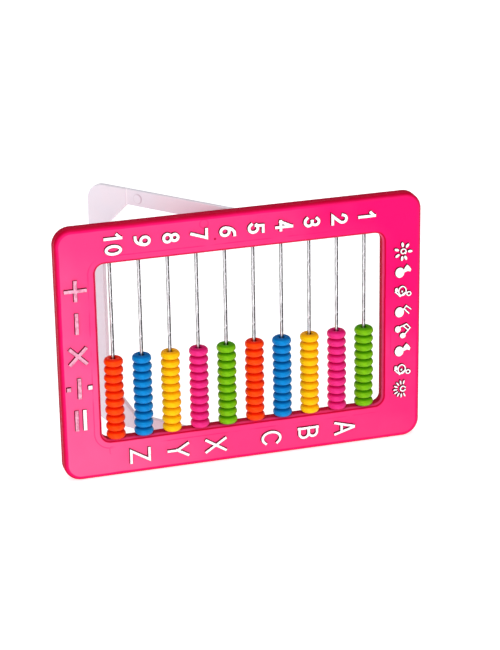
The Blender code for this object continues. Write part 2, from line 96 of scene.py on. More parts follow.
# Wires and their sockets
ROD_COUNT = 10
ROD_RADIUS = 1.0 * MM
ROD_REACH = 6.0 * MM
ROD_BOW = 0.05 * MM
ROD_LEVELS = 40
ROD_SIDES = 24
SOCKET_WIDTH = 5.2 * MM
SOCKET_BACK = 1.5 * MM
SOCKET_END = 2.0 * MM

# Beads, in runs that each slide as one
BEAD_RUNS = (("low", 5), ("middle", 2), ("high", 2), ("top", 1))
BEAD_RADIUS = 5.45 * MM
BEAD_HOLE = 1.65 * MM
BEAD_MOUTH = 0.95 * MM      # depth of the dished entry of the hole
BEAD_GAP = 0.14 * MM
BEAD_ASIDE = (0.14, 0.03)   # how far a bead hangs off its wire's axis in x and y, in millimetres
BEAD_SIDES = 48
COLOUR_ORDER = ("green", "magenta", "yellow", "blue", "orange")

# Raised characters, which all have their tops towards +X
CHARACTER_TOP = SHELL_LOW.y
CHARACTER_ROOT = 0.1 * MM
CHARACTER_CHAMFER = 0.08 * MM
CHARACTER_DRAFT = 0.30 * MM
NUMBER_HEIGHT = 9.6 * MM
NUMBER_STROKE = 0.18        # in heights of the character, as are all the strokes and shapes below
NUMBER_RISE_FROM_MIDDLE = 63.6 * MM
FIRST_NUMBER_X = 72.3 * MM
NUMBER_SPACING = 16.1 * MM
PAIR_SPACING = 0.72
DIGIT_BOX = (0.46, 0.84)    # width and height that a digit's centre lines fill
LETTER_BOX = (0.56, 0.875)
LETTER_HEIGHT = 12.0 * MM
LETTER_STROKE = 0.13
LETTER_DROP_FROM_MIDDLE = 63.1 * MM
LETTER_SPACING = 22.0 * MM
LETTER_ROWS = (("CBA", 15.2 * MM), ("XYZ", -17.6 * MM))
SIGN_HEIGHT = 12.0 * MM
SIGN_STROKE = 0.17
SIGN_X = -94.5 * MM
SIGN_TOP = 39.0 * MM
SIGN_SPACING = 19.05 * MM
SIGNS = ("plus", "minus", "times", "divide", "equals")
PICTURE_HEIGHT = 10.0 * MM
PICTURE_STROKE = 0.085
PICTURE_X = 93.9 * MM
PICTURE_TOP = 40.1 * MM
PICTURE_SPACING = 11.96 * MM
PICTURES = ("sun", "quaver", "clef", "double_quaver", "beamed", "quaver", "clef", "half_sun")
CURVE_STEP = 12             # degrees from one point of a curved stroke to the next
TOP_NORMAL = -0.9           # a face whose normal's y is below this is on top of a character, and printed

# Stand, described flat on the back of the frame: reach runs from the hinge axis to the cross-bar
HINGE = next(joint for joint in frame["joints"] if joint["name"] == "stand_hinge")
HINGE_PLACE = Vector(HINGE["pos_m"])
STAND_OPEN = math.radians(HINGE["range_deg"][1])
STAND_REACH = 95.2 * MM
STAND_BAR = 9.4 * MM
STAND_CORNER = 10.5 * MM
STAND_GUSSET = 17.8 * MM
STAND_KNEE = STAND_REACH - STAND_BAR - STAND_GUSSET
GUSSET_ROUND = 2.5 * MM
STAND_INNER = 1.8 * MM
STAND_OUTER = 1.4 * MM
STAND_RELIEF = 0.5 * MM
STAND_RIM = 0.5 * MM
PARTING_STEP = 0.05 * MM
HEEL_REACH = 4.5 * MM
BUTTON_RADIUS = 2.7 * MM
BUTTON_HEIGHT = 0.4 * MM
BUTTON_REACH = 60.2 * MM
BUTTON_INSET = 4.8 * MM
STOP_LENGTH = 2.4 * MM
PEG_RADIUS = 1.3 * MM
PEG_LENGTH = 5.5 * MM
LUG_WIDTH = 6.4 * MM
LUG_DEPTH = 6.2 * MM
LUG_WALL = 2.8 * MM

# Camera: where it stands and how it is turned
CAMERA_PLACE = Vector((-0.32817, -1.14005, 0.54622))
CAMERA_AZIMUTH = math.radians(-16.282)
CAMERA_ELEVATION = math.radians(21.457)
CAMERA_ROLL = math.radians(-0.923)
CAMERA_LENS = 126.484
CAMERA_CLIP_END = 20.0

SKY_FILL = 0.30             # strength of the sky as it lights surfaces
SKY_GLOSS = 0.06            # and as it shows in their gloss
FLOOR_HALF_SIZE = 6.0
FLOOR_DROP = 0.05 * MM
FLOOR_EMISSION = 0.58
BACKDROP_RADIUS = 8.0
RANDOM_SEED = 11


# ---- outlines

def arc(centre, radius, start, end, steps):
    """Points on an arc, both ends included; angles in degrees."""
    angles = [math.radians(start + (end - start) * i / steps) for i in range(steps + 1)]
    return [(centre[0] + radius * math.cos(a), centre[1] + radius * math.sin(a)) for a in angles]


def circle(centre, radius, steps):
    return arc(centre, radius, 0, 360, steps)[:-1]


def rounded_corner(before, corner, after, radius, steps):
    """Points of the arc that rounds one corner of an outline."""
    to_before = (before - corner).normalized()
    to_after = (after - corner).normalized()
    half = to_before.angle(to_after) / 2
    middle = corner + (to_before + to_after).normalized() * radius / math.sin(half)
    start = corner + to_before * radius / math.tan(half) - middle
    end = corner + to_after * radius / math.tan(half) - middle
    sweep = math.pi - 2 * half
    points = []
    for i in range(steps + 1):
        share = i / steps
        turned = start * math.sin((1 - share) * sweep) + end * math.sin(share * sweep)
        points.append(tuple(middle + turned / math.sin(sweep)))
    return points


def rounded_outline(corners, steps):
    """A closed outline from corners given as (a, b, radius)."""
    points = []
    for i, (a, b, radius) in enumerate(corners):
        if not radius:
            points.append((a, b))
            continue
        before, after = Vector(corners[i - 1][:2]), Vector(corners[(i + 1) % len(corners)][:2])
        points += rounded_corner(before, Vector((a, b)), after, radius, steps)
    return points


def inset_outline(outline, depth):
    """The outline moved inwards by depth, with mitred corners."""
    count = len(outline)
    pairs = [(outline[i - 1], outline[i]) for i in range(count)]
    area = sum(before[0] * after[1] - after[0] * before[1] for before, after in pairs)
    side = math.copysign(1.0, area)
    moved_in = []
    for i in range(count):
        point = Vector(outline[i])
        before = (point - Vector(outline[i - 1])).normalized()
        after = (Vector(outline[(i + 1) % count]) - point).normalized()
        across = Vector((-before.y - after.y, before.x + after.x))
        moved_in.append(point + side * across.normalized() * depth / (across.length / 2))
    return [tuple(point) for point in moved_in]


def rectangle_loop(width, height, radius, y):
    """A rounded rectangle about the frame's middle, at depth y."""
    points = []
    for turn, (side_x, side_z) in enumerate(((1, 1), (-1, 1), (-1, -1), (1, -1))):
        centre = (side_x * (width / 2 - radius), side_z * (height / 2 - radius))
        points += arc(centre, radius, 90 * turn, 90 * turn + 90, CORNER_STEPS)
    return [(x, y, MIDDLE + z) for x, z in points]


def rail_loop(inset, y):
    """A loop round the frame, inset from its outline; past the middle of the rail it follows the window."""
    if inset < RAIL / 2:
        width, height = FRAME_WIDTH - 2 * inset, FRAME_HEIGHT - 2 * inset
        return rectangle_loop(width, height, FRAME_CORNER - inset, y)
    outset = RAIL - inset
    width, height = WINDOW_WIDTH + 2 * outset, WINDOW_HEIGHT + 2 * outset
    return rectangle_loop(width, height, WINDOW_CORNER + outset, y)


# ---- meshes

def add_object(name, data):
    made = bpy.data.objects.new(name, data)
    bpy.context.scene.collection.objects.link(made)
    return made


def mesh_from(bm, name):
    """Turns bm into a mesh with its faces pointing outwards, and frees it."""
    bmesh.ops.recalc_face_normals(bm, faces=bm.faces)
    mesh = bpy.data.meshes.new(name)
    bm.to_mesh(mesh)
    bm.free()
    return mesh


def object_from(bm, name):
    return add_object(name, mesh_from(bm, name))


def bridge(bm, lower, upper, closed=True):
    """Makes the faces between two rows of vertices."""
    count = len(lower)
    for i in range(count if closed else count - 1):
        j = (i + 1) % count
        bm.faces.new((lower[i], lower[j], upper[j], upper[i]))


def ring(bm, loops):
    """Bridges loops of equal length in a cycle."""
    rows = [[bm.verts.new(point) for point in loop] for loop in loops]
    for row, following in zip(rows, rows[1:] + rows[:1]):
        bridge(bm, row, following)


def stack(bm, rows):
    """Bridges rows of points one above the other and closes both ends."""
    made = [[bm.verts.new(point) for point in row] for row in rows]
    for lower, upper in zip(made, made[1:]):
        bridge(bm, lower, upper)
    bm.faces.new(made[0])
    bm.faces.new(made[-1])


def add_prism(bm, outline, low, high, place, low_rim=0.0, high_rim=0.0):
    """Adds a prism with rounded rims; place(a, b, height) gives its points."""
    rims = []
    steps = 4
    for i in range(steps + 1 if low_rim else 1):
        turn = math.pi / 2 * i / steps
        rims.append((low_rim * (1 - math.sin(turn)), low + low_rim * (1 - math.cos(turn))))
    for i in range(steps + 1 if high_rim else 1):
        turn = math.pi / 2 * (steps - i) / steps
        rims.append((high_rim * (1 - math.sin(turn)), high - high_rim * (1 - math.cos(turn))))
    if not high_rim:
        rims[-1] = (0.0, high)
    if not low_rim:
        rims[0] = (0.0, low)
    rows = []
    for depth, height in rims:
        points = inset_outline(outline, depth) if depth > 0 else outline
        rows.append([place(a, b, height) for a, b in points])
    stack(bm, rows)


def add_box(bm, low, high):
    centre = (Vector(low) + Vector(high)) / 2
    size = Vector(high) - Vector(low)
    placed = Matrix.Translation(centre) @ Matrix.Diagonal((*size, 1.0))
    bmesh.ops.create_cube(bm, size=1.0, matrix=placed)


def combine(target, operation, tool):
    """Applies a Boolean to target and removes tool."""
    step = target.modifiers.new(operation.title(), "BOOLEAN")
    step.operation = operation
    step.solver = "EXACT"
    step.use_self = operation == "UNION"
    step.object = tool
    seen = target.evaluated_get(bpy.context.evaluated_depsgraph_get())
    mesh = bpy.data.meshes.new_from_object(seen)
    target.modifiers.clear()
    target.data = mesh
    bpy.data.objects.remove(tool, do_unlink=True)


def smooth(obj, degrees=SHARP_ANGLE, flat_faces=True):
    """Smooth shading with sharp edges, and normals that leave the flat faces flat."""
    obj.data.shade_smooth()
    obj.data.set_sharp_from_angle(angle=math.radians(degrees))
    if flat_faces:
        step = obj.modifiers.new("Flat faces", "WEIGHTED_NORMAL")
        step.keep_sharp = True


def piece(obj, materials, body, nodes):
    """Gives a finished piece its materials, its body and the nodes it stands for."""
    obj.data.materials.clear()
    for made in materials:
        obj.data.materials.append(made)
    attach(obj, body)
    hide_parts(*nodes)


# ---- materials

def linear(red, green, blue):
    """Linear colour from display values of 0 to 255."""
    def channel(value):
        share = value / 255
        return share / 12.92 if share <= 0.04045 else ((share + 0.055) / 1.055) ** 2.4
    return channel(red), channel(green), channel(blue)


class Paint:
    """A material and its node tree, with short calls for the nodes that the finishes share."""

    def __init__(self, name, **constants):
        self.material = bpy.data.materials.new(name)
        self.material.use_nodes = True
        self.tree = self.material.node_tree
        self.shader = self.tree.nodes["Principled BSDF"]
        for socket, value in constants.items():
            self.shader.inputs[socket.replace("_", " ")].default_value = value
        self.place = self.node("ShaderNodeTexCoord").outputs["Object"]
        apart = self.node("ShaderNodeSeparateXYZ")
        self.tree.links.new(self.place, apart.inputs[0])
        self.x, self.y, self.z = apart.outputs

    def node(self, kind, **settings):
        made = self.tree.nodes.new(kind)
        for name, value in settings.items():
            setattr(made, name, value)
        return made

    def feed(self, socket, value):
        """Puts a number, a colour or another node's output into a socket."""
        if isinstance(value, bpy.types.NodeSocket):
            self.tree.links.new(value, socket)
        elif isinstance(value, tuple) and len(value) == 3 and len(socket.default_value) == 4:
            socket.default_value = (*value, 1.0)
        else:
            socket.default_value = value

    def math(self, operation, *values):
        made = self.node("ShaderNodeMath", operation=operation)
        for socket, value in zip(made.inputs, values):
            self.feed(socket, value)
        return made.outputs[0]

    def plus(self, first, second):
        return self.math("ADD", first, second)

    def minus(self, first, second):
        return self.math("SUBTRACT", first, second)

    def times(self, first, second):
        return self.math("MULTIPLY", first, second)

    def larger(self, first, second):
        return self.math("MAXIMUM", first, second)

    def spread(self, value, low, high, to_low=0.0, to_high=1.0):
        """Smooth step from to_low at low to to_high at high."""
        made = self.node("ShaderNodeMapRange", interpolation_type="SMOOTHSTEP")
        for socket, number in zip(made.inputs, (value, low, high, to_low, to_high)):
            self.feed(socket, number)
        return made.outputs[0]

    def mix(self, share, first, second):
        made = self.node("ShaderNodeMix", data_type="RGBA")
        self.feed(made.inputs["Factor"], share)
        self.feed(made.inputs[6], first)
        self.feed(made.inputs[7], second)
        return made.outputs[2]

    def noise(self, size, detail=2.0, stretch=(1.0, 1.0, 1.0), roughness=0.5):
        """Noise from 0 to 1 whose features are about size metres across, stretched along some axes."""
        scaled = self.node("ShaderNodeMapping")
        scaled.inputs["Scale"].default_value = tuple(1 / (size * axis) for axis in stretch)
        self.tree.links.new(self.place, scaled.inputs["Vector"])
        made = self.node("ShaderNodeTexNoise")
        made.inputs["Scale"].default_value = 1.0
        made.inputs["Detail"].default_value = detail
        made.inputs["Roughness"].default_value = roughness
        self.tree.links.new(scaled.outputs[0], made.inputs["Vector"])
        return made.outputs["Fac"]

    def length(self, first, second):
        """Length of a line that runs first along one axis and second along another."""
        squares = [self.math("POWER", value, 2.0) for value in (first, second)]
        return self.math("SQRT", self.plus(*squares))

    def outline_distance(self, width, height, radius, centre_x=0.0, centre_z=MIDDLE):
        """Distance outside a rounded rectangle on the face; negative inside it."""
        shifted = self.minus(self.x, centre_x)
        lifted = self.minus(self.z, centre_z)
        along = self.minus(self.math("ABSOLUTE", shifted), width / 2 - radius)
        up = self.minus(self.math("ABSOLUTE", lifted), height / 2 - radius)
        outside = self.length(self.larger(along, 0.0), self.larger(up, 0.0))
        inside = self.math("MINIMUM", self.larger(along, up), 0.0)
        return self.minus(self.plus(outside, inside), radius)

    def frame_inset(self):
        """Distance inside the frame's outline."""
        return self.times(self.outline_distance(FRAME_WIDTH, FRAME_HEIGHT, FRAME_CORNER), -1.0)

    def circle_distance(self, radius, centre_x, centre_z):
        return self.outline_distance(2 * radius, 2 * radius, radius, centre_x, centre_z)

    def line(self, distance, half_width):
        """1 where distance is under half of half_width, falling to 0 at twice half_width."""
        return self.spread(self.math("ABSOLUTE", distance), half_width / 2, half_width * 2, 1.0, 0.0)

    def bump(self, *layers):
        """Adds (pattern, height in metres, strength) layers of relief to the shader's normal."""
        normal = None
        for pattern, height, strength in layers:
            made = self.node("ShaderNodeBump")
            made.inputs["Strength"].default_value = strength
            made.inputs["Distance"].default_value = 1.0
            self.feed(made.inputs["Height"], self.times(pattern, height))
            if normal:
                self.feed(made.inputs["Normal"], normal)
            normal = made.outputs[0]
        self.feed(self.shader.inputs["Normal"], normal)

    def finish(self, colour, roughness):
        self.feed(self.shader.inputs["Base Color"], colour)
        self.feed(self.shader.inputs["Roughness"], roughness)
        return self.material


# Pinks of the face: the palest one holds a painted reflection
FACE_PAINTED_REFLECTION = linear(255, 92, 144)
FACE_PINK = linear(255, 60, 124)
FACE_DEEP = linear(254, 18, 106)
# Reds of the edges and walls: deeper plastic darkened with painted shade; the pale edge line is a painted
# highlight
EDGE_RED = linear(190, 0, 46)
EDGE_PINK = linear(240, 22, 104)
EDGE_PAINTED_HIGHLIGHT = linear(224, 56, 112)
EDGE_DARK = linear(166, 0, 42)
# Maroon of the characters' side walls, darkened with painted shade
WALL_MAROON_SHADE = linear(92, 0, 32)
PINK_SHEEN = (1.0, 0.12, 0.45, 1.0)


def shell_finish():
    """Glossy pink, with a painted reflection that pales it towards the lower left, and dark red, deeper
    plastic with painted shade, where the rails turn into their walls.
    """
    paint = Paint("front_shell_pink", Specular_IOR_Level=0.12, Specular_Tint=PINK_SHEEN)
    mottle = paint.noise(38 * MM, 3.0)
    # Painted reflection: the face is painted paler towards the lower left and deeper towards the upper right,
    # in the shell's own coordinates
    slope = paint.plus(paint.times(paint.x, 4.2), paint.times(paint.z, 2.6))
    slope = paint.plus(slope, paint.times(mottle, 0.35))
    face = paint.mix(paint.spread(slope, -0.20, 0.18), FACE_PAINTED_REFLECTION, FACE_PINK)
    face = paint.mix(paint.spread(slope, 0.45, 0.88), face, FACE_DEEP)

    waver = paint.times(paint.minus(paint.noise(9 * MM, 1.0), 0.5), 0.4 * MM)
    inset = paint.plus(paint.frame_inset(), waver)
    outset = paint.plus(paint.outline_distance(WINDOW_WIDTH, WINDOW_HEIGHT, WINDOW_CORNER), waver)

    # Faint marks, deeper pink than the face
    marks = paint.line(paint.minus(outset, LINE_OUTSET), 0.25 * MM)
    for number, side in ((1, 1), (ROD_COUNT, -1)):
        centre_z = MIDDLE + side * (WINDOW_HEIGHT / 2 + PATCH_OUTSET)
        patch = paint.outline_distance(*PATCH_SIZE, PATCH_CORNER, rod_centre(number).x, centre_z)
        marks = paint.larger(marks, paint.line(patch, 0.2 * MM))
    marks = paint.times(marks, paint.spread(paint.noise(16 * MM, 2.0), 0.38, 0.58))
    ring_mark = paint.line(paint.circle_distance(RING_RADIUS, *RING_PLACE), 0.3 * MM)
    marks = paint.larger(marks, paint.times(ring_mark, 0.7))
    face = paint.mix(paint.times(marks, 0.55), face, EDGE_PINK)
    speck = paint.circle_distance(SPECK_RADIUS, *SPECK_PLACE)
    face = paint.mix(paint.spread(speck, -0.1 * MM, 0.3 * MM, 0.9, 0.0), face, EDGE_DARK)

    # The outer edge darkens, deeper red plastic with painted shade, and the window's edge has a thin pale
    # line of painted highlight inside a dark one of painted shade, on all four sides
    rim = paint.spread(inset, 2.2 * MM, 2.8 * MM, 1.0, 0.0)
    rim_colour = paint.mix(paint.spread(inset, 0.2 * MM, 2.2 * MM), EDGE_RED, EDGE_PINK)
    face = paint.mix(rim, face, rim_colour)
    face = paint.mix(paint.spread(outset, 0.4 * MM, 1.9 * MM, 1.0, 0.0), face, EDGE_PINK)
    lip = paint.spread(outset, 1.2 * MM, 1.8 * MM, 1.0, 0.0)
    lip_colour = paint.mix(paint.spread(outset, 0.4 * MM, 0.9 * MM), EDGE_PAINTED_HIGHLIGHT, EDGE_RED)
    face = paint.mix(lip, face, lip_colour)

    # Painted shade: the walls, from about 2 mm behind the front, are painted dark red, darker towards the
    # back; the same mask makes them rougher
    wall = paint.spread(paint.y, FRONT + 1.6 * MM, FRONT + 2.6 * MM)
    wall_shade = paint.mix(paint.spread(paint.y, FRONT + 2.4 * MM, BACK), EDGE_RED, EDGE_DARK)
    face = paint.mix(wall, face, wall_shade)

    grain = paint.noise(0.5 * MM, 2.0)
    roughness = paint.spread(paint.noise(14 * MM, 3.0), 0.3, 0.7, 0.24, 0.36)
    roughness = paint.larger(roughness, paint.times(wall, 0.7))
    paint.bump((grain, 0.006 * MM, 0.5), (mottle, 0.25 * MM, 0.6), (marks, 0.05 * MM, 0.6))
    return paint.finish(face, roughness)


def character_wall_finish():
    """Dull maroon: a deeper pink than the face, darkened with painted shade, on the characters' side walls.
    """
    paint = Paint("character_wall_maroon_shade", Specular_IOR_Level=0.1)
    share = paint.spread(paint.noise(3 * MM, 2.0), 0.3, 0.7)
    colour = paint.mix(share, WALL_MAROON_SHADE, linear(104, 0, 30))
    return paint.finish(colour, 0.45)


def print_finish():
    """White print, with pinholes and slightly pink where it is thin."""
    paint = Paint("character_print_white", Specular_IOR_Level=0.4)
    thin = paint.spread(paint.noise(2.6 * MM, 3.0), 0.56, 0.78)
    colour = paint.mix(thin, linear(255, 252, 253), linear(250, 222, 232))
    holes = paint.spread(paint.noise(0.5 * MM, 1.0), 0.74, 0.78)
    colour = paint.mix(holes, colour, linear(226, 120, 160))
    roughness = paint.spread(paint.noise(1.2 * MM, 2.0), 0.3, 0.7, 0.35, 0.5)
    return paint.finish(colour, roughness)


def worn_print_finish():
    """The same print on the signs: worn to a grey pink film, but for the right half of the last two."""
    paint = Paint("character_print_worn", Specular_IOR_Level=0.4)
    patches = paint.noise(4.5 * MM, 4.0, roughness=0.65)
    right = paint.spread(paint.x, SIGN_X + 0.6 * MM, SIGN_X + 1.4 * MM)
    last_two = MIDDLE + SIGN_TOP - 2.5 * SIGN_SPACING
    low = paint.spread(paint.z, last_two - 1.0 * MM, last_two + 1.0 * MM, 1.0, 0.0)
    kept = paint.times(paint.times(right, low), paint.spread(patches, 0.22, 0.34))
    thin = paint.spread(paint.noise(2.2 * MM, 3.0), 0.35, 0.65)
    film = paint.mix(thin, linear(206, 120, 150), linear(236, 170, 194))
    colour = paint.mix(kept, film, linear(255, 250, 252))
    return paint.finish(colour, paint.spread(patches, 0.3, 0.7, 0.32, 0.55))


def cover_finish():
    """Fine-grained pink, redder along its outer edge."""
    paint = Paint("rear_cover_pink", Specular_IOR_Level=0.3, Specular_Tint=PINK_SHEEN)
    mottle = paint.noise(30 * MM, 3.0)
    edge = paint.spread(paint.frame_inset(), 2.6 * MM, 4.2 * MM, 1.0, 0.0)
    colour = paint.mix(paint.spread(mottle, 0.3, 0.7), linear(238, 24, 100), linear(250, 44, 120))
    colour = paint.mix(paint.times(edge, 0.7), colour, EDGE_RED)
    grain = paint.noise(0.35 * MM, 2.0)
    paint.bump((grain, 0.02 * MM, 0.6))
    return paint.finish(colour, paint.spread(grain, 0.3, 0.7, 0.36, 0.48))


def bead_finish(name, colour, shade):
    """Soft-sheened plastic, painted darker towards the hole and where the next bead meets it, as painted
    shade.
    """
    sheen = tuple(min(1.0, 0.1 + channel) for channel in colour)
    paint = Paint(name, Specular_IOR_Level=0.45, Specular_Tint=(*sheen, 1.0), Coat_Weight=0.04,
                  Coat_Roughness=0.3)
    # Painted shade towards the hole and near the faces that the next bead meets; the clouds are random tone
    inner = paint.spread(paint.length(paint.x, paint.y), 2.2 * MM, 4.9 * MM, 1.0, 0.0)
    cloud = paint.spread(paint.noise(5 * MM, 2.0), 0.35, 0.65, 0.0, 0.35)
    groove_shade = paint.spread(paint.math("ABSOLUTE", paint.z), 1.0 * MM, 1.9 * MM)
    share = paint.larger(paint.larger(inner, groove_shade), cloud)
    grain = paint.noise(0.45 * MM, 2.0)
    paint.bump((grain, 0.012 * MM, 0.5))
    return paint.finish(paint.mix(share, colour, shade), paint.spread(grain, 0.3, 0.7, 0.34, 0.44))


def steel_finish():
    """Drawn wire about its own axis: three dark lines of painted shade along it, standing for the dark sides
    of its reflection, broken up by bright streaks and scale.
    """
    paint = Paint("rod_steel", Metallic=1.0)
    # Painted shade: three dark lines round the wire, a third of a turn apart, dimmed by patches of scale
    turn = paint.math("ARCTAN2", paint.y, paint.x)
    side_shade = paint.math("COSINE", paint.times(turn, 3.0))
    streaks = paint.noise(0.35 * MM, 3.0, stretch=(1.0, 1.0, 14.0))
    marks = paint.noise(0.8 * MM, 3.0, stretch=(1.0, 1.0, 3.5), roughness=0.7)
    colour = paint.mix(paint.spread(streaks, 0.35, 0.65), linear(176, 174, 178), linear(246, 245, 247))
    dark = paint.times(paint.spread(side_shade, -0.30, 0.25, 1.0, 0.0), paint.spread(marks, 0.34, 0.46))
    dark = paint.larger(dark, paint.times(paint.spread(marks, 0.6, 0.68), 0.7))
    colour = paint.mix(dark, colour, linear(44, 40, 44))
    paint.bump((streaks, 0.03 * MM, 0.6), (marks, 0.03 * MM, 0.5))
    return paint.finish(colour, paint.spread(marks, 0.4, 0.65, 0.26, 0.42))


def stand_finish():
    """Milky white with a lavender cast, painted darker and pinker towards the hinge as shade, with a fine
    line of painted shade round each button and one of painted highlight where the arms grow thick.
    """
    paint = Paint("stand_white", Specular_IOR_Level=0.35)
    along_x = paint.times(paint.minus(HINGE_PLACE.x, paint.x), math.cos(STAND_OPEN))
    along_y = paint.times(paint.minus(paint.y, HINGE_PLACE.y), math.sin(STAND_OPEN))
    reach = paint.plus(along_x, along_y)
    height = paint.math("ABSOLUTE", paint.minus(paint.z, MIDDLE))
    from_button = paint.length(paint.minus(reach, BUTTON_REACH),
                               paint.minus(height, FRAME_HEIGHT / 2 - BUTTON_INSET))
    # Painted light: a dark line of painted shade round the edge of each button, and a pale line of painted
    # highlight at the step where the arms grow thick
    button_ring_shade = paint.line(paint.minus(from_button, BUTTON_RADIUS), 0.25 * MM)
    step_highlight = paint.line(paint.minus(reach, STAND_KNEE - 0.4 * MM), 0.25 * MM)
    cloud = paint.noise(26 * MM, 3.0)
    colour = paint.mix(paint.spread(cloud, 0.3, 0.7), linear(231, 229, 239), linear(236, 229, 237))
    # Painted shade: the arms are painted darker and pinker towards the hinge, where the frame is close
    colour = paint.mix(paint.spread(reach, 20 * MM, 75 * MM, 0.35, 0.0), colour, linear(226, 206, 218))
    # A noise makes both painted lines patchy
    worn = paint.spread(paint.noise(6 * MM, 1.0), 0.35, 0.6, 0.3, 0.8)
    colour = paint.mix(paint.times(button_ring_shade, worn), colour, linear(200, 184, 198))
    colour = paint.mix(paint.times(step_highlight, worn), colour, linear(250, 248, 252))
    grain = paint.noise(0.4 * MM, 2.0)
    paint.bump((grain, 0.01 * MM, 0.5))
    return paint.finish(colour, paint.spread(cloud, 0.3, 0.7, 0.34, 0.44))


# ---- frame

def rod_centre(number):
    low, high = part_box(f"rod_{number:02d}")
    return (low + high) / 2


def rod_ends():
    """Every place where a wire enters a rail, as (x, direction): 1 at the top and -1 at the bottom."""
    return [(rod_centre(number).x, side) for number in range(1, ROD_COUNT + 1) for side in (1, -1)]


def rail_heights(side, reaches):
    """Heights at given distances outside the window, above it for side 1 and below it for -1, low to high."""
    return sorted(MIDDLE + side * (WINDOW_HEIGHT / 2 + reach) for reach in reaches)


def rail_box(x, side, half_width, depths, reaches):
    """Low and high corners of a box in a rail."""
    edges = rail_heights(side, reaches)
    return (x - half_width, depths[0], edges[0]), (x + half_width, depths[1], edges[1])


def groove_outline():
    """A wire's slot in the window wall, seen along the wire: round at the front and open at the back."""
    radius = ROD_RADIUS + CLEARANCE
    open_end = BACK + CUT_MARGIN
    return [(radius, open_end)] + arc((0, 0), radius, 0, -180, 16) + [(-radius, open_end)]


def front_shell(finish):
    """The channel-shaped moulding, with a socket and a slot for every end of a wire."""
    section = rounded_outline([
        (0, BACK, SMALL_ROUND),
        (0, FRONT, FACE_ROUND),
        (RAIL, FRONT, WINDOW_ROUND),
        (RAIL, BACK, SMALL_ROUND),
        (RAIL - WINDOW_WALL, BACK, TINY_ROUND),
        (RAIL - WINDOW_WALL, FRONT + FACE_THICKNESS, SMALL_ROUND),
        (SKIRT_THICKNESS, FRONT + FACE_THICKNESS, SMALL_ROUND),
        (SKIRT_THICKNESS, BACK, TINY_ROUND),
    ], FILLET_STEPS)
    bm = bmesh.new()
    ring(bm, [rail_loop(inset, y) for inset, y in section])
    shell = object_from(bm, "front_shell_moulding")
    sockets = bmesh.new()
    grooves = bmesh.new()
    stop = ROD_REACH + CLEARANCE
    for x, side in rod_ends():
        depths = (FRONT + FACE_THICKNESS / 2, SOCKET_BACK)
        reaches = (WINDOW_WALL / 2, stop + SOCKET_END)
        add_box(sockets, *rail_box(x, side, SOCKET_WIDTH / 2, depths, reaches))
        ends = rail_heights(side, (-CUT_MARGIN, stop))
        add_prism(grooves, groove_outline(), *ends, lambda across, y, z, x=x: (x + across, y, z))
    combine(shell, "UNION", object_from(sockets, "guide_sockets"))
    combine(shell, "DIFFERENCE", object_from(grooves, "guide_grooves"))
    smooth(shell)
    piece(shell, [finish], "frame", ["front_shell"])


def lug_outline():
    """The lug's side view about the hinge axis."""
    foot = BACK - COVER_THICKNESS / 2 - HINGE_PLACE.y
    half = LUG_WIDTH / 2
    return [(-half, foot), (half, foot)] + arc((0, LUG_WALL - half), half, 0, 180, ROUND_STEPS)


def rear_cover(finish):
    """The ring that closes the channel, with keys that hold the wires and the stand's two lugs."""
    near = SKIRT_THICKNESS + CLEARANCE
    far = RAIL - WINDOW_WALL - CLEARANCE
    section = rounded_outline([
        (near, BACK, SMALL_ROUND),
        (near, BACK - COVER_THICKNESS, TINY_ROUND),
        (far, BACK - COVER_THICKNESS, TINY_ROUND),
        (far, BACK, SMALL_ROUND),
    ], 4)
    bm = bmesh.new()
    ring(bm, [rail_loop(inset, y) for inset, y in section])
    cover = object_from(bm, "rear_cover_moulding")
    keys = bmesh.new()
    for x, side in rod_ends():
        depths = (ROD_RADIUS + CLEARANCE, BACK - SMALL_ROUND)
        add_box(keys, *rail_box(x, side, ROD_RADIUS, depths, (CLEARANCE, ROD_REACH)))
    combine(cover, "UNION", object_from(keys, "guide_keys"))
    lugs = bmesh.new()
    bores = bmesh.new()

    def about_hinge(x, y, z):
        return HINGE_PLACE.x + x, HINGE_PLACE.y + y, z

    for side in (1, -1):
        outer = FRAME_HEIGHT / 2 - STAND_BAR - CLEARANCE
        ends = sorted((MIDDLE + side * (outer - LUG_DEPTH), MIDDLE + side * outer))
        add_prism(lugs, lug_outline(), *ends, about_hinge, SMALL_ROUND, SMALL_ROUND)
        bore = circle((0, 0), PEG_RADIUS + CLEARANCE, ROUND_STEPS)
        add_prism(bores, bore, ends[0] - CUT_MARGIN, ends[1] + CUT_MARGIN, about_hinge)
    combine(cover, "UNION", object_from(lugs, "guide_lugs"))
    combine(cover, "DIFFERENCE", object_from(bores, "guide_bores"))
    smooth(cover)
    piece(cover, [finish], "frame", ["rear_cover"])


# ---- raised characters

def curve(centre_x, centre_y, radius_x, radius_y, start, end):
    """Points on part of an ellipse; angles in degrees, anticlockwise from the right."""
    steps = max(1, round(abs(end - start) / CURVE_STEP))
    angles = [math.radians(start + (end - start) * i / steps) for i in range(steps + 1)]
    return [(centre_x + radius_x * math.cos(a), centre_y + radius_y * math.sin(a)) for a in angles]


def oval(centre_x, centre_y, radius_x, radius_y):
    return curve(centre_x, centre_y, radius_x, radius_y, 0, 360)[:-1]


def line(*points):
    return "line", list(points)


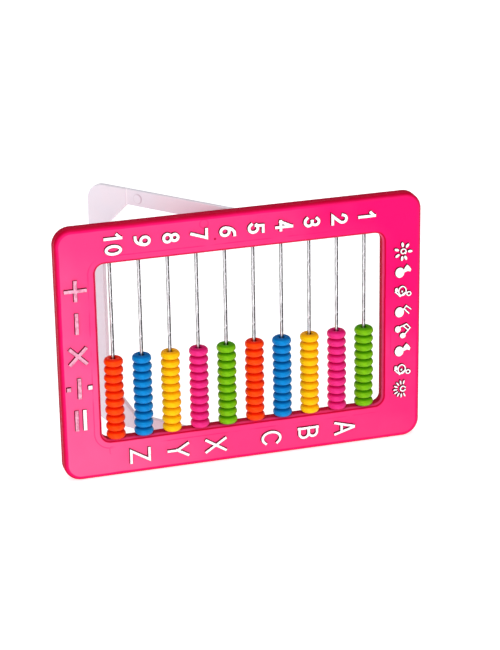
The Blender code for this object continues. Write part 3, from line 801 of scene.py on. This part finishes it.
def digit_strokes(digit):
    """Centre lines of a digit, as (kind, points)."""
    drawings = {
        "0": [("loop", oval(0.23, 0.42, 0.23, 0.42))],
        "1": [line((0.26, 0.0), (0.26, 0.84)), line((0.20, 0.80), (0.08, 0.68))],
        "2": [("line", curve(0.23, 0.60, 0.22, 0.24, 165, -40) + [(0.02, 0.0), (0.46, 0.0)])],
        "3": [("line", curve(0.22, 0.63, 0.20, 0.21, 145, -90)),
              ("line", curve(0.21, 0.22, 0.24, 0.22, 90, -145))],
        "4": [line((0.33, 0.0), (0.33, 0.84)), line((0.30, 0.82), (0.02, 0.24)),
              line((0.02, 0.22), (0.46, 0.22))],
        "5": [line((0.42, 0.84), (0.09, 0.84), (0.06, 0.45)),
              ("line", curve(0.21, 0.26, 0.25, 0.26, 130, -145))],
        "6": [("loop", oval(0.23, 0.25, 0.23, 0.25)), ("line", curve(0.40, 0.25, 0.40, 0.57, 85, 170))],
        "7": [line((0.0, 0.84), (0.46, 0.84), (0.16, 0.0))],
        "8": [("loop", oval(0.23, 0.64, 0.19, 0.20)), ("loop", oval(0.23, 0.22, 0.23, 0.22))],
    }
    if digit == "9":
        width, height = DIGIT_BOX
        return [(kind, [(width - u, height - v) for u, v in points])
                for kind, points in digit_strokes("6")]
    return drawings[digit]


def letter_strokes(letter):
    """Centre lines of a letter."""
    return {
        "A": [line((0.0, 0.0), (0.25, 0.86)), line((0.56, 0.0), (0.31, 0.86)),
              line((0.16, 0.28), (0.40, 0.28))],
        "B": [line((0.04, 0.0), (0.04, 0.875)),
              ("line", [(0.06, 0.875)] + curve(0.28, 0.67, 0.20, 0.205, 90, -90) + [(0.06, 0.465)]),
              ("line", [(0.10, 0.45)] + curve(0.30, 0.225, 0.22, 0.225, 90, -90) + [(0.06, 0.0)])],
        "C": [("line", curve(0.32, 0.4375, 0.32, 0.4375, 45, 315))],
        "X": [line((0.0, 0.0), (0.56, 0.875)), line((0.56, 0.0), (0.0, 0.875))],
        "Y": [line((0.0, 0.875), (0.28, 0.40), (0.28, 0.0)), line((0.56, 0.875), (0.28, 0.40))],
        "Z": [line((0.0, 0.875), (0.54, 0.875), (0.0, 0.0), (0.56, 0.0))],
    }[letter]


def sign_strokes(sign):
    """Centre lines of an arithmetic sign about its own middle."""
    bar = line((-0.40, 0.0), (0.40, 0.0))
    square = ((0.1, 0.1), (-0.1, 0.1), (-0.1, -0.1), (0.1, -0.1))
    dots = [("blob", [(u, v + side * 0.5) for u, v in square]) for side in (1, -1)]
    slope = 0.33
    return {
        "plus": [bar, line((0.0, -0.42), (0.0, 0.42))],
        "minus": [bar],
        "times": [line((-slope, -slope), (slope, slope)),
                  line((-slope, slope), (slope, -slope))],
        "divide": [bar, *dots],
        "equals": [line((-0.40, v), (0.40, v)) for v in (0.19, -0.19)],
    }[sign]


def rays(angles, near, far, half_width):
    """Lens-shaped rays about the middle, as filled blobs."""
    made = []
    for degrees in angles:
        turn = math.radians(degrees)
        lens = [(near + (far - near) * (1 - math.cos(a)) / 2, half_width * math.sin(a))
                for a in (math.tau * i / 12 for i in range(12))]
        made.append(("blob", [(out * math.cos(turn) - aside * math.sin(turn),
                               out * math.sin(turn) + aside * math.cos(turn)) for out, aside in lens]))
    return made


def spiral(outer, inner, start, end):
    """Points on an arc about the middle whose radius runs from outer to inner."""
    steps = round(abs(end - start) / CURVE_STEP)
    points = []
    for i in range(steps + 1):
        radius = outer + (inner - outer) * i / steps
        turn = math.radians(start + (end - start) * i / steps)
        points.append((radius * math.cos(turn), radius * math.sin(turn)))
    return points


def picture_strokes(picture):
    """Simple notes, clefs and suns about their own middle."""
    head = ("blob", oval(0.05, -0.19, 0.31, 0.27))
    leaf = ("blob", [(-0.08, 0.02), (-0.26, 0.12), (-0.40, 0.24), (-0.30, 0.36),
                     (-0.10, 0.50), (0.06, 0.44), (0.0, 0.28), (0.08, 0.06)])
    return {
        "sun": [("line", spiral(0.17, 0.11, 60, 400)),
                *rays((186, 143, 87, 21, 351, 303, 251), 0.26, 0.56, 0.085)],
        "quaver": [head, leaf],
        "double_quaver": [head, line((-0.05, 0.0), (-0.30, 0.22), (-0.10, 0.46)),
                          line((-0.12, 0.10), (0.14, 0.34))],
        "clef": [("loop", oval(-0.03, -0.03, 0.27, 0.22)), ("blob", oval(-0.12, -0.38, 0.14, 0.10)),
                 ("loop", oval(0.17, 0.36, 0.11, 0.12)),
                 line((0.02, -0.42), (0.28, -0.16), (0.10, 0.10), (0.08, 0.26)),
                 ("blob", oval(0.0, -0.04, 0.07, 0.06))],
        "beamed": [("blob", oval(-0.11, -0.28, 0.20, 0.18)), ("blob", oval(0.30, 0.02, 0.17, 0.18)),
                   line((-0.24, -0.16), (-0.38, 0.24), (-0.14, 0.46), (0.22, 0.14)),
                   line((-0.27, 0.06), (-0.02, 0.32))],
        "half_sun": [("line", curve(0.0, 0.06, 0.15, 0.15, 130, 410)),
                     *rays(range(165, 382, 27), 0.27, 0.55, 0.055)],
    }[picture]


def moved(strokes, shift_u, shift_v):
    return [(kind, [(u + shift_u, v + shift_v) for u, v in points]) for kind, points in strokes]


def centred(strokes, box):
    """Strokes moved from their box's lower left corner to its middle."""
    return moved(strokes, -box[0] / 2, -box[1] / 2)


def numbers():
    """The numbers along the top rail, as (strokes, x, z)."""
    for number in range(1, ROD_COUNT + 1):
        digits = str(number)
        strokes = []
        for place, digit in enumerate(digits):
            aside = (place - (len(digits) - 1) / 2) * PAIR_SPACING
            strokes += moved(centred(digit_strokes(digit), DIGIT_BOX), aside, 0.0)
        yield strokes, FIRST_NUMBER_X - NUMBER_SPACING * (number - 1), MIDDLE + NUMBER_RISE_FROM_MIDDLE


def letters():
    for row, start in LETTER_ROWS:
        for place, letter in enumerate(row):
            x = start + math.copysign(place * LETTER_SPACING, start)
            yield centred(letter_strokes(letter), LETTER_BOX), x, MIDDLE - LETTER_DROP_FROM_MIDDLE


def signs():
    for place, sign in enumerate(SIGNS):
        yield sign_strokes(sign), SIGN_X, MIDDLE + SIGN_TOP - place * SIGN_SPACING


def pictures():
    for place, picture in enumerate(PICTURES):
        yield picture_strokes(picture), PICTURE_X, MIDDLE + PICTURE_TOP - place * PICTURE_SPACING


def shifted_line(points, offset, closed):
    """A line of points moved sideways by offset, with mitred corners."""
    path = [Vector(point) for point in points]
    count = len(path)
    row = []
    for i in range(count):
        before = path[i] - path[i - 1] if closed or i > 0 else path[1] - path[0]
        after = path[(i + 1) % count] - path[i] if closed or i < count - 1 else before
        across = Vector((-before.y, before.x)).normalized() + Vector((-after.y, after.x)).normalized()
        mitre = max(across.length / 2, 0.4)
        row.append(path[i] + across.normalized() * offset / mitre)
    return row


def add_bar(bm, points, section, closed, place):
    """Runs a closed section of (offset, depth) points along a stroke."""
    path = [Vector(point) for point in points]
    if not closed:
        reach = max(offset for offset, _ in section)
        path[0] += (path[0] - path[1]).normalized() * reach
        path[-1] += (path[-1] - path[-2]).normalized() * reach
    rows = [[bm.verts.new(place(point, y)) for point in shifted_line(path, offset, closed)]
            for offset, y in section]
    for row, following in zip(rows, rows[1:] + rows[:1]):
        bridge(bm, row, following, closed)
    if not closed:
        for end in (0, -1):
            bm.faces.new([row[end] for row in rows])


def add_character(bm, strokes, width, height, x, z):
    """Raises one character: every stroke is a bar with a bevelled top that stands on the face."""
    def place(point, y):
        return x + point[1] * height, y, z - point[0] * height

    top, foot = CHARACTER_TOP, FRONT + CHARACTER_ROOT
    shoulder = top + CHARACTER_CHAMFER
    half = width / 2
    bevel = CHARACTER_CHAMFER / height
    draft = CHARACTER_DRAFT / height
    side = [(half + draft, foot), (half, shoulder), (half - bevel, top)]
    section = side + [(-offset, y) for offset, y in reversed(side)]
    for kind, points in strokes:
        if kind == "blob":
            rows = ((-draft, foot), (0.0, shoulder), (bevel, top))
            stack(bm, [[place(point, y) for point in inset_outline(points, depth)] for depth, y in rows])
        else:
            add_bar(bm, points, section, kind == "loop", place)


def raised_group(name, characters, stroke, height, wall, top_print):
    """One group of characters as a piece, with one material on its walls and another on top."""
    halves = (bmesh.new(), bmesh.new())
    for count, (strokes, x, z) in enumerate(characters):
        add_character(halves[count % 2], strokes, stroke, height, x, z)
    group = object_from(halves[0], name)
    combine(group, "UNION", object_from(halves[1], "guide_" + name))
    piece(group, [wall, top_print], "frame", ["front_shell"])
    for face in group.data.polygons:
        face.material_index = 1 if face.normal.y < TOP_NORMAL else 0
    smooth(group, SHARP_ANGLE_SMALL)


# ---- wires and beads

def wire(number, finish, chance):
    """A drawn wire with a slight bow, modelled about its own centre."""
    low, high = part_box(f"rod_{number:02d}")
    bow = Vector((chance.uniform(-1, 1), chance.uniform(-1, 1), 0)) * ROD_BOW
    turns = chance.uniform(1.0, 1.6)
    rows = []
    for level in range(ROD_LEVELS + 1):
        share = level / ROD_LEVELS
        middle = bow * math.sin(math.pi * share * turns)
        middle.z = (high.z - low.z) * (share - 0.5)
        end = min(share, 1 - share) == 0
        radius = ROD_RADIUS * (0.82 if end else 0.985)
        outline = circle((middle.x, middle.y), radius, ROD_SIDES)
        rows.append([(x, y, middle.z) for x, y in outline])
    bm = bmesh.new()
    stack(bm, rows)
    made = object_from(bm, f"wire_{number:02d}")
    made.location = (low + high) / 2
    smooth(made, SHARP_ANGLE_SMALL, flat_faces=False)
    piece(made, [finish], "frame", [f"rod_{number:02d}"])


def bead_profile(thickness):
    """Half section of a bead as (radius, height): a round edge, and the hole with its dished entries."""
    half = thickness / 2
    crown = BEAD_RADIUS - half
    points = [(crown + x, y) for x, y in arc((0, 0), half, -90, 90, 20)]
    mouth = [(crown - (crown - BEAD_HOLE) * math.sin(turn), half - BEAD_MOUTH * (1 - math.cos(turn)))
             for turn in (math.pi / 2 * i / 8 for i in range(1, 9))]
    lower = [(radius, -height) for radius, height in reversed(mouth)]
    return points + mouth + lower


def bead_mesh(name, thickness, turn):
    """A bead about its own middle, turned about its hole."""
    bm = bmesh.new()
    rows = []
    for radius, height in bead_profile(thickness):
        rows.append([(x, y, height) for x, y in circle((0, 0), radius, BEAD_SIDES)])
    ring(bm, rows)
    bmesh.ops.rotate(bm, verts=bm.verts, matrix=Matrix.Rotation(turn, 3, "Z"))
    mesh = mesh_from(bm, name)
    mesh.shade_smooth()
    return mesh


def beads(number, finish, colour, chance):
    """Ten beads on one wire, each its own piece on the body of its run."""
    bead = 0
    for run, count in BEAD_RUNS:
        node = f"beads_{number:02d}_{run}"
        low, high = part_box(node)
        pitch = (high.z - low.z + CLEARANCE) / count
        for place in range(count):
            bead += 1
            mesh = bead_mesh(node, pitch - BEAD_GAP, chance.uniform(0, math.tau))
            made = add_object(f"bead_{number:02d}_{bead:02d}", mesh)
            centre = rod_centre(number)
            aside = Vector((*(chance.uniform(-most, most) for most in BEAD_ASIDE), 0)) * MM
            centre.z = low.z + pitch * (place + 0.5) - CLEARANCE / 2
            made.location = centre + aside
            piece(made, [finish], node, [node])


# ---- stand

def behind_hinge(reach, depth, height):
    """A point of the stand from its reach, its depth off the frame's back and its height."""
    return -reach, depth, height


def flat_bail(bm, start, shrink, depths, rims):
    """The U of the bail from a given reach outwards, as a prism with rounded rims."""
    half = FRAME_HEIGHT / 2 - shrink
    inside = FRAME_HEIGHT / 2 - STAND_BAR + shrink
    end = STAND_REACH - shrink
    bar = STAND_REACH - STAND_BAR + shrink
    upper = [(start, half, 0), (end, half, STAND_CORNER)]
    inner = [(start, inside, 0)] if start < STAND_KNEE else []
    knee_round = GUSSET_ROUND if start < STAND_KNEE else 0
    gusset = [(STAND_KNEE, inside, knee_round), (bar, inside - STAND_GUSSET, GUSSET_ROUND)]
    top_side = list(reversed(upper)) + inner + gusset
    mirrored = [(reach, -height, radius) for reach, height, radius in reversed(top_side)]
    outline = rounded_outline(top_side + mirrored, 12)
    add_prism(bm, outline, *depths, lambda reach, height, depth: behind_hinge(reach, depth, height), *rims)


def heel_outline():
    """The arm's end about the hinge axis: round beside the frame, then flat where it stops fully open."""
    steps = 12
    swing = [STAND_OPEN * i / steps for i in range(steps + 1)]
    round_part = [(-STAND_INNER * math.sin(a), -STAND_INNER * math.cos(a)) for a in swing]
    tangent = (-math.cos(STAND_OPEN), math.sin(STAND_OPEN))
    toe = (round_part[-1][0] + STOP_LENGTH * tangent[0], round_part[-1][1] + STOP_LENGTH * tangent[1])
    outer = STAND_OUTER - PARTING_STEP
    return [(HEEL_REACH, -STAND_INNER)] + round_part + [toe, (toe[0], outer), (HEEL_REACH, outer)]


def bail(finish):
    """The stand, modelled about its hinge axis as if folded flat, then turned open."""
    half = FRAME_HEIGHT / 2
    inside = half - STAND_BAR
    bm = bmesh.new()
    flat_bail(bm, 0.0, 0.0, (-STAND_INNER + STAND_RELIEF, STAND_OUTER), (STAND_RIM, STAND_RIM))
    made = object_from(bm, "bail_moulding")
    thick = bmesh.new()
    flat_bail(thick, STAND_KNEE, PARTING_STEP, (-STAND_INNER, -0.2 * MM), (STAND_RIM, 0.0))
    combine(made, "UNION", object_from(thick, "guide_thick"))
    heels, pegs, buttons = bmesh.new(), bmesh.new(), bmesh.new()
    for side in (1, -1):
        heel = sorted((side * (inside + PARTING_STEP), side * (half - PARTING_STEP)))
        add_prism(heels, heel_outline(), *heel, behind_hinge, 0.2 * MM, 0.2 * MM)
        peg = sorted((side * (inside - PEG_LENGTH), side * (inside + STAND_BAR / 2)))
        peg_outline = circle((0, 0), PEG_RADIUS, ROUND_STEPS)
        add_prism(pegs, peg_outline, *peg, lambda x, y, z: (x, y, z), SMALL_ROUND, SMALL_ROUND)
        button = circle((-BUTTON_REACH, side * (half - BUTTON_INSET)), BUTTON_RADIUS, 40)
        rise = (-STAND_INNER + STAND_RELIEF - BUTTON_HEIGHT, 0.0)
        add_prism(buttons, button, *rise, lambda x, z, y: (x, y, z), 0.15 * MM)
    for name, bm in (("guide_heels", heels), ("guide_pegs", pegs), ("guide_buttons", buttons)):
        combine(made, "UNION", object_from(bm, name))
    made.data.transform(Matrix.Translation(HINGE_PLACE) @ Matrix.Rotation(-STAND_OPEN, 4, "Z"))
    smooth(made)
    piece(made, [finish], "stand", ["stand"])


# ---- studio

def pale_paint(name, emission):
    """Matt white that also glows by itself."""
    paint = Paint(name, Specular_IOR_Level=0.0, Emission_Color=(1.0, 1.0, 1.0, 1.0),
                  Emission_Strength=emission)
    mottle = paint.spread(paint.noise(0.4, 2.0), 0.3, 0.7, 0.7, 0.8)
    return paint.finish(linear(242, 242, 243), mottle)


def floor_and_backdrop():
    """A white floor, and a backdrop that fills the view without lighting anything."""
    bm = bmesh.new()
    bmesh.ops.create_grid(bm, x_segments=1, y_segments=1, size=FLOOR_HALF_SIZE)
    floor = object_from(bm, "floor")
    floor.location.z = -FLOOR_DROP
    floor.data.materials.append(pale_paint("floor_white", FLOOR_EMISSION))
    bm = bmesh.new()
    bmesh.ops.create_uvsphere(bm, u_segments=48, v_segments=24, radius=BACKDROP_RADIUS)
    backdrop = object_from(bm, "backdrop")
    backdrop.data.materials.append(pale_paint("backdrop_white", 1.0))
    backdrop.visible_diffuse = False
    backdrop.visible_glossy = False
    backdrop.visible_transmission = False
    backdrop.visible_shadow = False


def area_light(name, place, size, power, in_gloss=True):
    """A white lamp that faces the middle of the frame and isn't seen itself; power in watts."""
    lamp = bpy.data.lights.new(name, "AREA")
    lamp.shape = "RECTANGLE"
    lamp.size, lamp.size_y = size
    lamp.energy = power
    made = add_object(name, lamp)
    made.location = place
    facing = Vector((0.0, 0.0, MIDDLE)) - Vector(place)
    made.rotation_euler = facing.to_track_quat("-Z", "Y").to_euler()
    made.visible_camera = False
    made.visible_glossy = in_gloss


def studio():
    """A soft room: large lamps all round, and a sky that fills the shadows but hardly shows in the gloss."""
    world = bpy.data.worlds.new("studio")
    bpy.context.scene.world = world
    world.use_nodes = True
    tree = world.node_tree
    sky = tree.nodes["Background"]
    sky.inputs["Color"].default_value = (1.0, 1.0, 1.0, 1.0)
    seen = tree.nodes.new("ShaderNodeLightPath")
    level = tree.nodes.new("ShaderNodeMapRange")
    level.inputs["To Min"].default_value = SKY_FILL
    level.inputs["To Max"].default_value = SKY_GLOSS
    tree.links.new(seen.outputs["Is Glossy Ray"], level.inputs["Value"])
    tree.links.new(level.outputs[0], sky.inputs["Strength"])
    area_light("key", (-0.5, -0.85, 0.45), (0.8, 0.6), 5.2)
    area_light("fill", (0.6, -0.8, 0.5), (0.6, 0.6), 2.2)
    area_light("overhead", (0.0, 0.0, 1.3), (0.6, 0.6), 4.4)
    area_light("back", (0.2, 1.1, 0.35), (0.8, 0.6), 3.5, in_gloss=False)


def camera():
    """The camera, turned by its azimuth, elevation and roll."""
    azimuth, elevation = CAMERA_AZIMUTH, CAMERA_ELEVATION
    back = Vector((math.sin(azimuth) * math.cos(elevation),
                   -math.cos(azimuth) * math.cos(elevation),
                   math.sin(elevation)))
    right = Vector((math.cos(azimuth), math.sin(azimuth), 0.0))
    up = back.cross(right)
    rolled_right = math.cos(CAMERA_ROLL) * right + math.sin(CAMERA_ROLL) * up
    rolled_up = math.cos(CAMERA_ROLL) * up - math.sin(CAMERA_ROLL) * right
    data = bpy.data.cameras.new("camera")
    data.lens = CAMERA_LENS
    data.clip_end = CAMERA_CLIP_END
    made = add_object("camera", data)
    turned = Matrix((rolled_right, rolled_up, back)).transposed().to_4x4()
    made.matrix_world = Matrix.Translation(CAMERA_PLACE) @ turned
    bpy.context.scene.camera = made


# Each bead colour, and the darker colour painted as its shade and used for its random clouds
BEAD_COLOURS = {
    "green": (linear(118, 184, 8), linear(76, 152, 0)),
    "magenta": (linear(230, 44, 130), linear(210, 12, 100)),
    "yellow": (linear(250, 194, 2), linear(240, 166, 0)),
    "blue": (linear(0, 130, 204), linear(0, 98, 168)),
    "orange": (linear(252, 72, 0), linear(238, 36, 0)),
}


def build():
    camera()
    floor_and_backdrop()
    studio()
    bpy.context.scene.view_settings.view_transform = "Standard"
    chance = random.Random(RANDOM_SEED)
    wall, white, worn = character_wall_finish(), print_finish(), worn_print_finish()
    front_shell(shell_finish())
    rear_cover(cover_finish())
    raised_group("raised_numbers", numbers(), NUMBER_STROKE, NUMBER_HEIGHT, wall, white)
    raised_group("raised_letters", letters(), LETTER_STROKE, LETTER_HEIGHT, wall, white)
    raised_group("raised_signs", signs(), SIGN_STROKE, SIGN_HEIGHT, wall, worn)
    raised_group("raised_pictures", pictures(), PICTURE_STROKE, PICTURE_HEIGHT, wall, white)
    steel = steel_finish()
    finishes = {colour: bead_finish(f"bead_{colour}", *shades) for colour, shades in BEAD_COLOURS.items()}
    for number in range(1, ROD_COUNT + 1):
        wire(number, steel, chance)
        colour = COLOUR_ORDER[(number - 1) % len(COLOUR_ORDER)]
        beads(number, finishes[colour], colour, chance)
    bail(stand_finish())


build()
